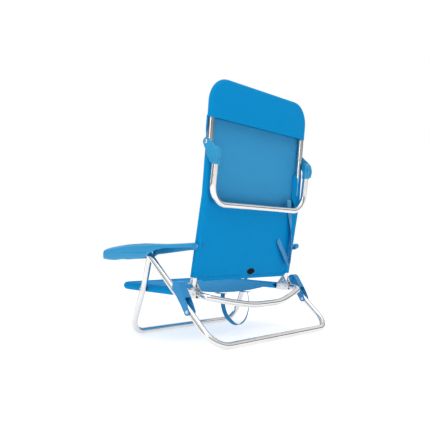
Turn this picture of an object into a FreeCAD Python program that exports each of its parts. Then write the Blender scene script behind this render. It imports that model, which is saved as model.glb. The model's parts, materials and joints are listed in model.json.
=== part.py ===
import FreeCAD, Part
import math
import os

os.makedirs("parts", exist_ok=True)
V = FreeCAD.Vector

# ---------------------------------------------------------------------------
# Low folding beach chair with a high back, all lengths in millimetres.
# +Z is up, the sitter faces -Y and the sitter's left is +X.
# Side-view positions below are given as (y, z) with y = 0 midway between the
# two floor bars; Y_SHIFT then moves everything so that the origin is the
# centre of the bounding box at floor level.
# ---------------------------------------------------------------------------

# Driving dimensions: tubes
TUBE_R = 10.0            # every frame tube is 20 mm across
TUBE_WALL = 1.4
SPIGOT_R = 8.4           # swaged end that plugs into another tube
SLEEVE_IN = 10.35        # sewn fabric sleeve around a tube
SLEEVE_OUT = 11.5

# Driving dimensions: side view of the frame
ARM_TIP_Y = -305.0
FLOOR_BAR_Y = 206.0      # each floor bar's distance from mid-chair
FLOOR_BAR_Z = TUBE_R
Y_SHIFT = 0.5 * (-ARM_TIP_Y - FLOOR_BAR_Y - TUBE_R)
HUB = (-93.0, 284.0)     # front and rear legs meet inside the armrest
HINGE = (58.0, 174.5)    # back hinge, also the pivot of the leg links
ARM_PIVOT_Z = 296.5
RAIL_Z_AT_HINGE = 150.0
RAIL_SLOPE = -0.035
SEAT_FRONT_Y = -283.0
RAIL_END_Y = 84.0
LEG_PIVOT_Z = 157.0      # height of the front leg's pivot on the seat rail
LINK_PIVOT_Z = 103.5     # height of the link's pivot on the rear leg
BACK_KINK = (112.0, 455.0)
BACK_TOP = (146.0, 797.0)
BAIL_PIVOT_Z = 610.0
BAIL_TOP = (152.0, 540.0)
BAIL_BAR = (135.0, 422.0)

# Driving dimensions: plan positions of the left-hand pieces
SEAT_X = 242.0           # seat rail, back tube and hinge bracket share a plane
FRONT_LEG_FLOOR_X = 263.0
FRONT_LEG_PIVOT_X = 266.0
FRONT_LEG_TOP_X = 279.5
REAR_LEG_X = 301.0
BAIL_X = 244.0
ARM_IN = 262.0           # inner and outer faces of the armrest
ARM_OUT = 319.0
ARM_WALL = 3.0
LINK_IN = 287.0          # inner and outer faces of the link channel
LINK_OUT = 315.0
LINK_WALL = 2.6

# Driving dimensions: pivots
BOLT_R = 3.0
BORE_R = 3.05
BUSH_R = 5.0
BUSH_BORE_R = 5.05
PIN_R = 3.0


def yz(p, x=0.0):
    return V(x, p[0] + Y_SHIFT, p[1])


def along(a, b, z):
    t = (z - a[1]) / (b[1] - a[1])
    return (a[0] + t * (b[0] - a[0]), z)


def rail_z(y):
    return RAIL_Z_AT_HINGE + RAIL_SLOPE * (y - HINGE[0])


FRONT_FLOOR = (-FLOOR_BAR_Y, FLOOR_BAR_Z)
REAR_FLOOR = (FLOOR_BAR_Y, FLOOR_BAR_Z)
LEG_PIVOT = along(FRONT_FLOOR, HUB, LEG_PIVOT_Z)
LINK_PIVOT = along(REAR_FLOOR, HUB, LINK_PIVOT_Z)
BAIL_PIVOT = along(BACK_KINK, BACK_TOP, BAIL_PIVOT_Z)


def filleted_path(points, radii):
    edges = []
    here = points[0]
    for i in range(1, len(points) - 1):
        corner = points[i]
        to_last = (points[i - 1] - corner).normalize()
        to_next = (points[i + 1] - corner).normalize()
        half = 0.5 * to_last.getAngle(to_next)
        r = radii[i - 1]
        reach = r / math.tan(half)
        start = corner + to_last * reach
        end = corner + to_next * reach
        inward = (to_last + to_next).normalize()
        centre = corner + inward * (r / math.sin(half))
        mid = centre - inward * r
        edges.append(Part.makeLine(here, start))
        edges.append(Part.Arc(start, mid, end).toShape())
        here = end
    edges.append(Part.makeLine(here, points[-1]))
    return Part.Wire(edges)


def rod(points, radii, r):
    spine = filleted_path(points, radii)
    first = (points[1] - points[0]).normalize()
    ring = Part.Wire([Part.makeCircle(r, points[0], first)])
    return spine.makePipeShell([ring], True, False)


def tube(points, radii, r_out=TUBE_R, wall=TUBE_WALL):
    return rod(points, radii, r_out).cut(rod(points, radii, r_out - wall))


def cyl_x(centre, x0, x1, r):
    # cylinder along X between two plan positions, centred on a (y, z) point
    low = min(x0, x1)
    return Part.makeCylinder(r, abs(x1 - x0), yz(centre, low), V(1, 0, 0))


def ring_x(centre, x0, x1, r_out, r_in):
    return cyl_x(centre, x0, x1, r_out).cut(cyl_x(centre, x0 - 1, x1 + 1, r_in))


def box(x0, x1, y0, y1, z0, z1):
    return Part.makeBox(x1 - x0, y1 - y0, z1 - z0, V(x0, y0 + Y_SHIFT, z0))


def extrude_x(side_points, x0, x1):
    # closed polygon in the side view, extruded across the chair
    pts = [yz(p, x0) for p in side_points]
    pts.append(pts[0])
    face = Part.Face(Part.makePolygon(pts))
    return face.extrude(V(x1 - x0, 0, 0))


def smooth_x(curve_a, curve_b, x0, x1):
    # two smooth side-view curves that share their ends, extruded across
    edges = []
    for pts in (curve_a, curve_b):
        spline = Part.BSplineCurve()
        spline.interpolate([yz(p, x0) for p in pts])
        edges.append(spline.toShape())
    return Part.Face(Part.Wire(edges)).extrude(V(x1 - x0, 0, 0))


def mirror(shape):
    return shape.mirror(V(0, 0, 0), V(1, 0, 0))


def both(shape):
    return Part.makeCompound([shape, mirror(shape)])


def save(node, shape):
    shape.exportStep("parts/" + node + ".step")


def group(shapes):
    solids = []
    for s in shapes:
        solids.extend(s.Solids)
    return Part.makeCompound(solids)


# ---------------------------------------------------------------------------
# Seat: tube frame, bowed rear crossbar, sling, hinge brackets and fasteners
# ---------------------------------------------------------------------------

def rail_point(y, x=SEAT_X):
    return yz((y, rail_z(y)), x)


seat_points = [rail_point(RAIL_END_Y), rail_point(SEAT_FRONT_Y)]
seat_points.append(rail_point(SEAT_FRONT_Y, -SEAT_X))
seat_points.append(rail_point(RAIL_END_Y, -SEAT_X))
SEAT_BEND = 40.0
seat_tube = tube(seat_points, [SEAT_BEND, SEAT_BEND])

# The crossbar leaves the rails level, dips and bows rearward at the middle.
BOW_CORNER = (119.0, 142.5)
BOW_SIDE = (141.0, 124.0)
BOW_MID = (160.0, 110.0)
SPIGOT_LENGTH = 24.0
bow_points = [rail_point(RAIL_END_Y), yz(BOW_CORNER, SEAT_X + 3.0)]
bow_points.append(yz(BOW_SIDE, 158.0))
bow_points.append(yz(BOW_MID, 74.0))
for p in reversed(bow_points[:]):
    bow_points.append(V(-p.x, p.y, p.z))
BOW_RADII = [24.0, 300.0, 300.0, 300.0, 300.0, 24.0]
crossbar = tube(bow_points, BOW_RADII)
rail_dir = (rail_point(RAIL_END_Y - 30.0) - rail_point(RAIL_END_Y)).normalize()
for sx in (1, -1):
    root = rail_point(RAIL_END_Y, sx * SEAT_X)
    crossbar = crossbar.cut(Part.makeCylinder(16.0, 30.0, root, rail_dir))
    spigot = Part.makeCylinder(SPIGOT_R, SPIGOT_LENGTH, root - rail_dir * 4.0, rail_dir)
    hollow = Part.makeCylinder(SPIGOT_R - 1.4, SPIGOT_LENGTH + 2, root - rail_dir * 5.0, rail_dir)
    crossbar = crossbar.fuse(spigot).cut(hollow)

# Rivet positions along the rail's rear end
BRACKET_RIVET_YS = (40.0, 72.0)
CROSSBAR_RIVET_YS = (97.0,)
RIVET_R = 2.4
for y in BRACKET_RIVET_YS:
    seat_tube = seat_tube.cut(cyl_x((y, rail_z(y)), -SEAT_X - 14, SEAT_X + 14, RIVET_R))
    crossbar = crossbar.cut(cyl_x((y, rail_z(y)), SEAT_X - 14, SEAT_X + 14, RIVET_R))
    crossbar = crossbar.cut(cyl_x((y, rail_z(y)), -SEAT_X - 14, -SEAT_X + 14, RIVET_R))
seat_tube = seat_tube.cut(cyl_x(LEG_PIVOT, -SEAT_X - 14, SEAT_X + 14, BOLT_R))
CROSSBAR_RIVET = (97.0, 146.6)
for sx in (1, -1):
    crossbar = crossbar.cut(cyl_x(CROSSBAR_RIVET, sx * (SEAT_X - 14), sx * (SEAT_X + 14), RIVET_R))
save("seat_frame_tube", seat_tube)
save("seat_crossbar", crossbar)

# Seat sling: a mesh panel sewn into sleeves around the rails and front bar
SLING_REAR_Y = 26.0
SLING_T = 1.6
SLING_SAG = 5.0
sleeve_points = [rail_point(SLING_REAR_Y), rail_point(SEAT_FRONT_Y)]
sleeve_points.append(rail_point(SEAT_FRONT_Y, -SEAT_X))
sleeve_points.append(rail_point(SLING_REAR_Y, -SEAT_X))
seat_sleeve = rod(sleeve_points, [SEAT_BEND, SEAT_BEND], SLEEVE_OUT)
panel_lift = SLEEVE_OUT - SLING_T
span = SEAT_X - 1.0
back_edge = rail_point(SLING_REAR_Y, 0.0)
left_top = back_edge + V(span, 0, SLEEVE_OUT)
mid_top = back_edge + V(0, 0, SLEEVE_OUT - SLING_SAG)
right_top = back_edge + V(-span, 0, SLEEVE_OUT)
down = V(0, 0, -SLING_T)
top_arc = Part.Arc(left_top, mid_top, right_top).toShape()
low_arc = Part.Arc(left_top + down, mid_top + down, right_top + down).toShape()
ends = [Part.makeLine(left_top, left_top + down), Part.makeLine(right_top, right_top + down)]
panel_face = Part.Face(Part.Wire(Part.__sortEdges__([top_arc, low_arc] + ends)))
panel = panel_face.extrude(rail_point(SEAT_FRONT_Y, 0.0) - back_edge)
corner_box = box(-SEAT_X, SEAT_X, SEAT_FRONT_Y - 1, SEAT_FRONT_Y + SEAT_BEND, 100, 200)
corner_round = Part.makeCylinder(SEAT_BEND, 100, yz((SEAT_FRONT_Y + SEAT_BEND, 100), SEAT_X - SEAT_BEND))
corner_keep = corner_round.fuse(mirror(corner_round))
corner_keep = corner_keep.fuse(box(-SEAT_X + SEAT_BEND, SEAT_X - SEAT_BEND, SEAT_FRONT_Y - 1,
                                   SEAT_FRONT_Y + SEAT_BEND, 100, 200))
panel = panel.cut(corner_box.cut(corner_keep))
sling = seat_sleeve.fuse(panel).cut(rod(sleeve_points, [SEAT_BEND, SEAT_BEND], SLEEVE_IN))
for sx in (1, -1):
    # eyelet where the front leg's pivot passes through the sleeve
    sling = sling.cut(cyl_x(LEG_PIVOT, sx * (SEAT_X - 16), sx * (SEAT_X + 16), 8.5))
save("seat_sling", sling)

# Hinge brackets: folded plates that saddle the rail and carry the hinge bolt
EAR_T = 1.6
EAR_GAP = 10.5           # from the rail's mid-plane to the inside of an ear
EAR_TOP_R = 11.0
EAR_FRONT_Y = 30.0
EAR_REAR_Y = 82.0
for side, sx in (("left", 1), ("right", -1)):
    foot_z = rail_z(HINGE[0]) - 13.0
    outline = [(EAR_FRONT_Y, foot_z), (EAR_REAR_Y, foot_z), (EAR_REAR_Y, foot_z + 20)]
    outline += [(HINGE[0] + 10.0, HINGE[1] + 4.0), (HINGE[0] - 10.0, HINGE[1] + 4.0)]
    outline.append((EAR_FRONT_Y, foot_z + 20))
    plates = []
    for x0 in (SEAT_X - EAR_GAP - EAR_T, SEAT_X + EAR_GAP):
        plate = extrude_x(outline, sx * x0, sx * (x0 + EAR_T))
        plate = plate.fuse(cyl_x(HINGE, sx * x0, sx * (x0 + EAR_T), EAR_TOP_R))
        slot = extrude_x([(46, 163), (52, 167), (64, 167), (70, 163)],
                         sx * (x0 - 1), sx * (x0 + EAR_T + 1))
        plates.append(plate.cut(slot))
    x0 = SEAT_X - EAR_GAP - EAR_T
    x1 = SEAT_X + EAR_GAP + EAR_T
    web = [(EAR_FRONT_Y, foot_z), (EAR_REAR_Y, foot_z)]
    web += [(EAR_REAR_Y, foot_z + EAR_T), (EAR_FRONT_Y, foot_z + EAR_T)]
    bracket = plates[0].fuse(plates[1]).fuse(extrude_x(web, sx * x0, sx * x1))
    bracket = bracket.cut(cyl_x(HINGE, sx * (x0 - 2), sx * (x1 + 2), BOLT_R))
    for y in BRACKET_RIVET_YS:
        bracket = bracket.cut(cyl_x((y, rail_z(y)), sx * (x0 - 2), sx * (x1 + 2), RIVET_R))
    save("hinge_bracket_" + side, bracket)


def domed_rivet(centre, x0, x1, r, head_r, head_t):
    # shank between the two outer faces, with a low dome on each
    shank = cyl_x(centre, x0, x1, r)
    for x, s in ((min(x0, x1), -1), (max(x0, x1), 1)):
        cone = Part.makeCone(head_r, head_r * 0.55, head_t, yz(centre, x), V(s, 0, 0))
        shank = shank.fuse(cone)
    return shank


rivets = []
for y in BRACKET_RIVET_YS:
    r0 = SEAT_X - EAR_GAP - EAR_T
    r1 = SEAT_X + EAR_GAP + EAR_T
    rivets.append(both(domed_rivet((y, rail_z(y)), r0, r1, RIVET_R, 4.6, 1.8)))
save("hinge_bracket_rivets", group(rivets))

plain = domed_rivet(CROSSBAR_RIVET, SEAT_X - TUBE_R + 0.5, SEAT_X + TUBE_R + 1.7, RIVET_R, 4.2, 1.6)
save("crossbar_rivets", group([both(plain)]))

# Front-leg pivot: rivet through the seat rail with a plastic spacer washer
LEG_IN = FRONT_LEG_PIVOT_X - TUBE_R
LEG_OUT = FRONT_LEG_PIVOT_X + TUBE_R
pivot = cyl_x(LEG_PIVOT, SEAT_X - TUBE_R - 0.2, LEG_OUT + 0.6, BOLT_R)
inner_head = Part.makeCone(3.6, 6.0, 1.6, yz(LEG_PIVOT, SEAT_X - TUBE_R - 1.6), V(1, 0, 0))
outer_head = Part.makeCone(6.0, 3.6, 2.0, yz(LEG_PIVOT, LEG_OUT + 0.3), V(1, 0, 0))
save("front_leg_pivot_rivets", group([both(pivot.fuse(inner_head).fuse(outer_head))]))
washer = ring_x(LEG_PIVOT, SEAT_X + TUBE_R + 0.2, LEG_IN - 0.3, 8.0, BORE_R)
save("front_leg_pivot_washers", group([both(washer)]))

# Hinge bolts: through both ears, then outward as the pivot of the leg link
EAR_OUTER = SEAT_X + EAR_GAP + EAR_T
EAR_INNER = SEAT_X - EAR_GAP - EAR_T
bolt = cyl_x(HINGE, EAR_INNER, LINK_IN + LINK_WALL + 0.5, BOLT_R)
bolt_head = Part.makeCone(3.4, 5.6, 2.4, yz(HINGE, EAR_INNER - 2.4), V(1, 0, 0))
bolt_end = Part.makeCone(5.6, 3.6, 2.2, yz(HINGE, LINK_IN + LINK_WALL + 0.3), V(1, 0, 0))
save("hinge_bolts", group([both(bolt.fuse(bolt_head).fuse(bolt_end))]))
spacer = ring_x(HINGE, EAR_OUTER, LINK_IN - 0.3, 7.0, BORE_R)
save("link_pivot_spacers", group([both(spacer)]))

# Webbing loop that hangs under the rear of the seat, used as a carry handle
STRAP_W = 18.0
STRAP_T = 1.4
LOOP_Y = 42.0
LOOP_TOP_Z = 147.0
loop = [(77.0, LOOP_TOP_Z), (74.0, 94.0), (53.0, 53.0), (14.0, 33.0), (-21.0, 50.0)]
loop += [(-41.0, 93.0), (-38.0, LOOP_TOP_Z)]
outer = []
inner = []
for i, (lx, lz) in enumerate(loop):
    a = loop[max(i - 1, 0)]
    b = loop[min(i + 1, len(loop) - 1)]
    tx = b[0] - a[0]
    tz = b[1] - a[1]
    n = math.hypot(tx, tz)
    outer.append(V(lx + tz / n * STRAP_T / 2, LOOP_Y - STRAP_W / 2 + Y_SHIFT, lz - tx / n * STRAP_T / 2))
    inner.append(V(lx - tz / n * STRAP_T / 2, LOOP_Y - STRAP_W / 2 + Y_SHIFT, lz + tx / n * STRAP_T / 2))
curve_out = Part.BSplineCurve()
curve_out.interpolate(outer)
curve_in = Part.BSplineCurve()
curve_in.interpolate(inner)
strap_edges = [curve_out.toShape(), Part.makeLine(outer[-1], inner[-1])]
strap_edges += [curve_in.toShape(), Part.makeLine(inner[0], outer[0])]
strap_face = Part.Face(Part.Wire(Part.__sortEdges__(strap_edges)))
strap_loop = strap_face.extrude(V(0, STRAP_W, 0))
for end_x in (loop[0][0], loop[-1][0]):
    # flat tab at each end, reaching forward under the rear hem of the sling
    tab_y = SLING_REAR_Y - 8.0
    tab = Part.makeBox(STRAP_W, LOOP_Y + STRAP_W / 2 - tab_y, STRAP_T)
    tab.translate(V(end_x - STRAP_W / 2, tab_y + Y_SHIFT, LOOP_TOP_Z - STRAP_T))
    strap_loop = strap_loop.fuse(tab)
save("seat_strap_loop", strap_loop)

# ---------------------------------------------------------------------------
# Back: hinge bushings, tube frame, mesh sling, sleeves, hood and straps
# ---------------------------------------------------------------------------

bush = ring_x(HINGE, SEAT_X - TUBE_R, SEAT_X + TUBE_R, BUSH_R, BORE_R)
save("back_hinge_bushings", group([both(bush)]))

BACK_BEND = 60.0
BACK_FOOT_DROP = 8.0
low_dir = V(0, HINGE[0] - BACK_KINK[0], HINGE[1] - BACK_KINK[1]).normalize()


def back_path(x, foot):
    start = yz(HINGE, x) + low_dir * foot
    pts = [start, yz(BACK_KINK, x), yz(BACK_TOP, x)]
    pts += [yz(BACK_TOP, -x), yz(BACK_KINK, -x)]
    pts.append(V(-start.x, start.y, start.z))
    return pts


BACK_RADII = [120.0, BACK_BEND, BACK_BEND, 120.0]
back_tube = tube(back_path(SEAT_X, BACK_FOOT_DROP), BACK_RADII)


def back_at(z, offset=0.0):
    # a (y, z) point on the back tube's centre line at height z, pushed square
    # to the tube; positive offsets go to the rear
    a, b = (HINGE, BACK_KINK) if z < BACK_KINK[1] else (BACK_KINK, BACK_TOP)
    p = along(a, b, z)
    n = math.hypot(b[0] - a[0], b[1] - a[1])
    return (p[0] + offset * (b[1] - a[1]) / n, p[1] - offset * (b[0] - a[0]) / n)


ARM_PIVOT = back_at(ARM_PIVOT_Z)
for sx in (1, -1):
    x0 = sx * (SEAT_X - 15)
    x1 = sx * (SEAT_X + 15)
    back_tube = back_tube.cut(cyl_x(HINGE, x0, x1, BUSH_BORE_R))
    back_tube = back_tube.cut(cyl_x(ARM_PIVOT, x0, x1, BORE_R))
    back_tube = back_tube.cut(cyl_x(BAIL_PIVOT, x0, x1, BOLT_R))
save("back_frame_tube", back_tube)

# Plastic plugs inside the open feet of the back tube
foot = yz(HINGE, SEAT_X) + low_dir * BACK_FOOT_DROP
plug = Part.makeCylinder(TUBE_R - TUBE_WALL, 2.4, foot, low_dir * -1.0)
plug = plug.fuse(Part.makeCylinder(TUBE_R - 1.5, 1.2, foot, low_dir))
save("back_tube_plugs", group([both(plug)]))


def back_strip(z0, z1, off0, off1, x0, x1):
    # flat strip that follows the back between two heights and two offsets
    front = [back_at(z0, off0)]
    rear = [back_at(z0, off1)]
    if z0 < BACK_KINK[1] < z1:
        front.append(back_at(BACK_KINK[1] - 0.01, off0))
        rear.append(back_at(BACK_KINK[1] - 0.01, off1))
    front.append(back_at(z1, off0))
    rear.append(back_at(z1, off1))
    return extrude_x(front + rear[::-1], x0, x1)


# Mesh sling: one panel along the front of the two tubes
BACK_HEM_Z = 190.0
SLEEVE_TOP_Z = 562.0
HOOD_HEM_Z = 684.0
PANEL_X = 228.0
PANEL_IN = SLEEVE_OUT - SLING_T
back_panel = back_strip(BACK_HEM_Z, HOOD_HEM_Z - 6.0, -SLEEVE_OUT, -PANEL_IN, -PANEL_X, PANEL_X)
save("back_sling", back_panel)


def back_sleeve(z0, z1, r):
    low = back_at(z0)
    high = back_at(z1)
    pts = [yz(low, SEAT_X), yz(BACK_KINK, SEAT_X), yz(high, SEAT_X)]
    return rod(pts, [BACK_RADII[0]], r)


# Sewn side sleeves, open where the armrest pin passes through
sleeve = back_sleeve(BACK_HEM_Z, SLEEVE_TOP_Z, SLEEVE_OUT)
sleeve = sleeve.cut(back_sleeve(BACK_HEM_Z - 4, SLEEVE_TOP_Z + 4, SLEEVE_IN))
sleeve = sleeve.cut(cyl_x(ARM_PIVOT, SEAT_X - 16, SEAT_X + 16, 8.5))
save("back_sleeve_left", sleeve)
save("back_sleeve_right", mirror(sleeve))

# Rear storage pocket between the sleeves, below the support bail
POCKET_TOP_Z = 434.0
pocket = back_strip(BACK_HEM_Z, POCKET_TOP_Z, PANEL_IN, SLEEVE_OUT, -PANEL_X, PANEL_X)
save("back_rear_pocket", pocket)

# Small press studs that close each sleeve on its rear side
STUD_Z = 300.0
stud_base = back_at(STUD_Z, SLEEVE_OUT + 0.1)
stud_dir = (yz(back_at(STUD_Z, 20.0)) - yz(back_at(STUD_Z, 0.0))).normalize()
stud_x = SEAT_X - 8.0
stud = Part.makeCylinder(4.0, 1.6, yz(back_at(STUD_Z, 12.2), stud_x), stud_dir)
save("sleeve_press_studs", group([both(stud)]))

# Hood: a closed fabric cap over the top of the frame, open along its hem
hood_low = back_at(HOOD_HEM_Z)
hood_pts = [yz(hood_low, SEAT_X), yz(BACK_TOP, SEAT_X), yz(BACK_TOP, -SEAT_X), yz(hood_low, -SEAT_X)]
deep_low = back_at(HOOD_HEM_Z - 8.0)
deep_pts = [yz(deep_low, SEAT_X), yz(BACK_TOP, SEAT_X), yz(BACK_TOP, -SEAT_X), yz(deep_low, -SEAT_X)]
hood_normal = (yz(back_at(700.0, 10.0)) - yz(back_at(700.0, 0.0))).normalize()
HOOD_RADII = [BACK_BEND, BACK_BEND]


def hood_slab(points, inset, half):
    wire = filleted_path(points, HOOD_RADII)
    closing = Part.makeLine(points[-1], points[0])
    face = Part.Face(Part.Wire(wire.Edges + [closing]))
    slab = face.extrude(hood_normal * (2.0 * half))
    slab.translate(hood_normal * -half)
    return slab


hood = hood_slab(hood_pts, 0.0, SLEEVE_OUT).fuse(rod(hood_pts, HOOD_RADII, SLEEVE_OUT))
hood = hood.cut(hood_slab(deep_pts, 0.0, PANEL_IN)).cut(rod(deep_pts, HOOD_RADII, SLEEVE_IN))
save("headrest_hood", hood)

# Foam slab inside the hood, between the tubes
FOAM_HALF = 9.4
FOAM_X = SEAT_X - 13.0
foam = back_strip(HOOD_HEM_Z + 6.0, 784.0, -FOAM_HALF, FOAM_HALF, -FOAM_X, FOAM_X)
foam_low = back_strip(784.0 - 42.0, 786.0, -FOAM_HALF - 1, FOAM_HALF + 1, -FOAM_X - 1, FOAM_X + 1)
foam_edges = [e for e in foam.Edges if e.BoundBox.ZMin > 780.0 and e.BoundBox.XLength < 0.01]
foam = foam.makeFillet(50.0, foam_edges) if foam_edges else foam
save("headrest_foam", foam)


def back_ribbon(a, b, width, off_a, off_b, thick):
    # flat webbing between two points (x, z) on the rear of the back
    pa = yz(back_at(a[1], off_a), a[0])
    pb = yz(back_at(b[1], off_b), b[0])
    run = (pb - pa).normalize()
    normal = stud_dir
    across = run.cross(normal).normalize() * (width / 2.0)
    lift = across.cross(run).normalize() * thick
    if lift.y < 0:
        lift = lift * -1.0
    corners = [pa - across, pa + across, pb + across, pb - across, pa - across]
    return Part.Face(Part.makePolygon(corners)).extrude(lift)


# Shoulder strap: webbing from above the bail bar down to a fold, then back up
STRAP_TOP = (-178.0, 462.0)
STRAP_MID = (-206.0, 360.0)
STRAP_FOLD = (-215.0, 236.0)
STRAP_SLIT = (-146.0, 322.0)
strap = back_ribbon(STRAP_TOP, STRAP_MID, 26.0, 12.6, 17.0, 1.5)
strap = strap.fuse(back_ribbon(STRAP_MID, STRAP_FOLD, 26.0, 16.6, 24.0, 1.5))
strap = strap.fuse(back_ribbon(STRAP_FOLD, STRAP_SLIT, 26.0, 23.0, 12.4, 1.5))
save("back_shoulder_strap", strap)

# Plain sewn tag near the hem
tag_base = yz(back_at(213.0, SLEEVE_OUT + 0.2), -20.0)
tag = Part.makeCylinder(11.0, 1.0, V(0, 0, 0), V(0, 0, 1))
stretch = FreeCAD.Matrix()
stretch.scale(1.9, 1.0, 1.0)
tag = tag.transformGeometry(stretch)
tag.Placement = FreeCAD.Placement(tag_base, FreeCAD.Rotation(V(0, 0, 1), stud_dir))
save("plain_sewn_tag", tag)

# Bail pivots: rivets fixed in the back tube, elbows turn on them
CHEEK_IN = SEAT_X + TUBE_R + 0.6
CHEEK_OUT = CHEEK_IN + 6.0
pivot = cyl_x(BAIL_PIVOT, SEAT_X - TUBE_R - 0.4, CHEEK_OUT + 0.5, BOLT_R)
inner_head = Part.makeCone(3.6, 6.0, 1.6, yz(BAIL_PIVOT, SEAT_X - TUBE_R - 1.6), V(1, 0, 0))
outer_head = Part.makeCone(6.0, 3.6, 2.0, yz(BAIL_PIVOT, CHEEK_OUT + 0.3), V(1, 0, 0))
save("bail_pivot_rivets", group([both(pivot.fuse(inner_head).fuse(outer_head))]))

# ---------------------------------------------------------------------------
# Support bail: U tube with two plastic elbows
# ---------------------------------------------------------------------------

BAIL_BEND = 60.0
bail_points = [yz(BAIL_TOP, BAIL_X), yz(BAIL_BAR, BAIL_X), yz(BAIL_BAR, -BAIL_X), yz(BAIL_TOP, -BAIL_X)]
bail_dir = (bail_points[0] - bail_points[1]).normalize()
SOCKET_DEPTH = 34.0
bail_points[0] = bail_points[0] + bail_dir * SOCKET_DEPTH
bail_points[3] = bail_points[3] + bail_dir * SOCKET_DEPTH
save("support_bail_tube", tube(bail_points, [BAIL_BEND, BAIL_BEND]))

SOCKET_R = 13.0
SOCKET_LENGTH = 50.0
socket_low = yz(BAIL_TOP, BAIL_X) - bail_dir * 0.5
socket = Part.makeCylinder(SOCKET_R, SOCKET_LENGTH, socket_low, bail_dir)
socket = socket.cut(Part.makeCylinder(TUBE_R + 0.02, 34.7, socket_low - bail_dir * 0.1, bail_dir))
cheek = cyl_x(BAIL_PIVOT, CHEEK_IN, CHEEK_OUT, 13.0)
web = [(115.0, 606.0), (122.0, 621.0), (132.0, 622.0), (152.0, 604.0), (167.0, 588.0)]
web += [(172.0, 566.0), (167.0, 544.0), (151.0, 541.0), (141.0, 549.0)]
cheek = cheek.fuse(extrude_x(web, CHEEK_IN, CHEEK_OUT))
shoulder = [(147.0, 560.0), (143.0, 588.0), (149.0, 596.0), (158.0, 595.0), (169.0, 583.0), (171.5, 560.0)]
block = extrude_x(shoulder, BAIL_X - 10.0, CHEEK_OUT)
block = block.cut(Part.makeCylinder(TUBE_R + 0.02, 34.7, socket_low - bail_dir * 0.1, bail_dir))
elbow = cheek.fuse(socket).fuse(block)
elbow = elbow.cut(Part.makeCylinder(TUBE_R + 0.02, 34.7, socket_low - bail_dir * 0.1, bail_dir))
elbow = elbow.cut(cyl_x(BAIL_PIVOT, CHEEK_IN - 2, CHEEK_OUT + 2, BORE_R)).removeSplitter()
save("bail_elbow_left", elbow)
save("bail_elbow_right", mirror(elbow))

# ---------------------------------------------------------------------------
# Front leg: U tube that splays outward above the seat rail
# ---------------------------------------------------------------------------

LEG_END = 5.5            # tube runs this far past the hub pin
FRONT_BEND = 52.0
REAR_BEND = 62.0
hub_front = yz(HUB, FRONT_LEG_TOP_X)
front_floor = yz(FRONT_FLOOR, FRONT_LEG_FLOOR_X)
splay_z = 182.0
splay = yz(along(FRONT_FLOOR, HUB, splay_z), FRONT_LEG_PIVOT_X + 0.6)
top_dir = (hub_front - splay).normalize()


def u_frame(points):
    out = list(points)
    for p in reversed(points):
        out.append(V(-p.x, p.y, p.z))
    return out


front_points = u_frame([hub_front + top_dir * LEG_END, splay, front_floor])
front_leg = tube(front_points, [150.0, FRONT_BEND, FRONT_BEND, 150.0])
for sx in (1, -1):
    front_leg = front_leg.cut(cyl_x(LEG_PIVOT, sx * (LEG_IN - 3), sx * (LEG_OUT + 3), BORE_R))
    front_leg = front_leg.cut(cyl_x(HUB, sx * (FRONT_LEG_TOP_X - 14), sx * (FRONT_LEG_TOP_X + 14), PIN_R))
save("front_leg_tube", front_leg)


def end_plug(end, direction):
    body = Part.makeCylinder(TUBE_R - TUBE_WALL, 1.5, end, direction * -1.0)
    return body.fuse(Part.makeCylinder(TUBE_R - 0.2, 1.4, end, direction))


save("front_leg_end_plugs", group([both(end_plug(front_points[0], top_dir))]))
FRONT_TOP_OUT = FRONT_LEG_TOP_X + TUBE_R
REAR_TOP_IN = REAR_LEG_X - TUBE_R
pin = cyl_x(HUB, ARM_IN + ARM_WALL + 0.4, REAR_TOP_IN - 0.3, PIN_R)
save("front_leg_hub_pins", group([both(pin)]))

# ---------------------------------------------------------------------------
# Rear leg: wider U tube, hub pins at the top and link pivots lower down
# ---------------------------------------------------------------------------

rear_floor = yz(REAR_FLOOR, REAR_LEG_X)
hub_rear = yz(HUB, REAR_LEG_X)
rear_dir = (hub_rear - rear_floor).normalize()
rear_points = u_frame([hub_rear + rear_dir * LEG_END, rear_floor])
rear_leg = tube(rear_points, [REAR_BEND, REAR_BEND])
for sx in (1, -1):
    for centre in (HUB, LINK_PIVOT):
        rear_leg = rear_leg.cut(cyl_x(centre, sx * (REAR_LEG_X - 14), sx * (REAR_LEG_X + 14), PIN_R))
save("rear_leg_tube", rear_leg)
save("rear_leg_end_plugs", group([both(end_plug(rear_points[0], rear_dir))]))
pin = cyl_x(HUB, REAR_TOP_IN + 0.3, ARM_OUT - ARM_WALL - 0.4, PIN_R)
save("rear_leg_hub_pins", group([both(pin)]))
pivot = cyl_x(LINK_PIVOT, LINK_IN - 0.5, LINK_OUT + 0.5, PIN_R)
inner_head = Part.makeCone(3.4, 5.4, 1.8, yz(LINK_PIVOT, LINK_IN - 2.1), V(1, 0, 0))
outer_head = Part.makeCone(5.4, 3.4, 1.8, yz(LINK_PIVOT, LINK_OUT + 0.3), V(1, 0, 0))
save("link_lower_rivets", group([both(pivot.fuse(inner_head).fuse(outer_head))]))

# ---------------------------------------------------------------------------
# Leg links: plastic channels from the hinge bolt to the rear leg
# ---------------------------------------------------------------------------

link_len = math.hypot(HINGE[0] - LINK_PIVOT[0], HINGE[1] - LINK_PIVOT[1])
link_s = ((HINGE[0] - LINK_PIVOT[0]) / link_len, (HINGE[1] - LINK_PIVOT[1]) / link_len)
link_w = (link_s[1], -link_s[0])


def on_link(s, w):
    # s runs from the lower pivot to the hinge, w is towards the rear
    return (LINK_PIVOT[0] + s * link_s[0] + w * link_w[0], LINK_PIVOT[1] + s * link_s[1] + w * link_w[1])


LINK_TOP_R = 16.0
LINK_LOW_R = 11.0
outline = [(0, -LINK_LOW_R), (0, LINK_LOW_R), (18, 14.0), (40, 15.6), (link_len, LINK_TOP_R)]
outline += [(link_len, -LINK_TOP_R), (58, -12.5), (28, -10.8)]
outline = [on_link(s, w) for s, w in outline]


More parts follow.
